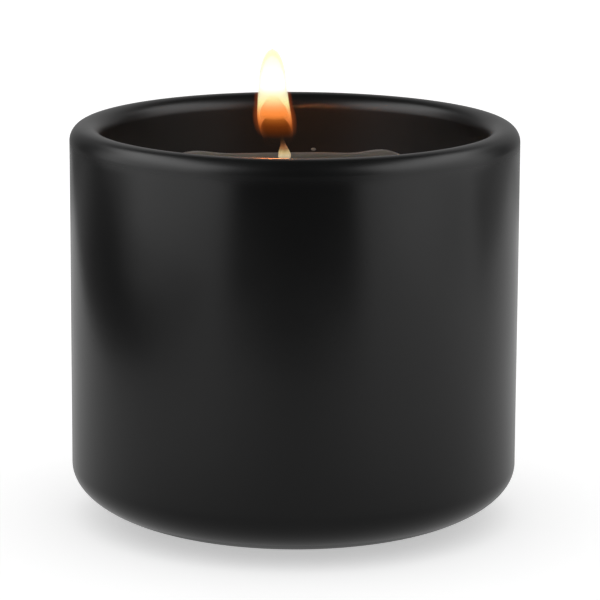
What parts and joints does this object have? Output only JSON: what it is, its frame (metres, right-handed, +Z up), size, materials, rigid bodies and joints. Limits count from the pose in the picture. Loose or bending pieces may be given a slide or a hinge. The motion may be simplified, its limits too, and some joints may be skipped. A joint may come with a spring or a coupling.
{
  "type": "candle jar",
  "caption": "Straight-sided round glazed ceramic candle jar with a full-round lip and a rounded base, filled with wax, with a wick on a metal tab and a lit flame.",
  "frame": {"origin": "centre of the jar's base, on the surface it stands on", "axes": "+Z up along the jar's axis, -Y towards the viewer, +X to the viewer's right, the wick's tip bent towards -X"},
  "size_m": [0.09, 0.09, 0.095],
  "materials": {
    "black_glaze": "satin",
    "wax": "satin",
    "liquid_wax": "gloss",
    "cotton": "matte",
    "tin_plate": "satin",
    "adhesive_foam": "matte",
    "flame": "matte"
  },
  "bodies": {
    "root": {"jar": "black_glaze", "wax_fill": "wax", "melt_pool": "liquid_wax", "wick": "cotton", "wick_sustainer": "tin_plate", "wick_sticker": "adhesive_foam", "flame": "flame"}
  },
  "joints": []
}
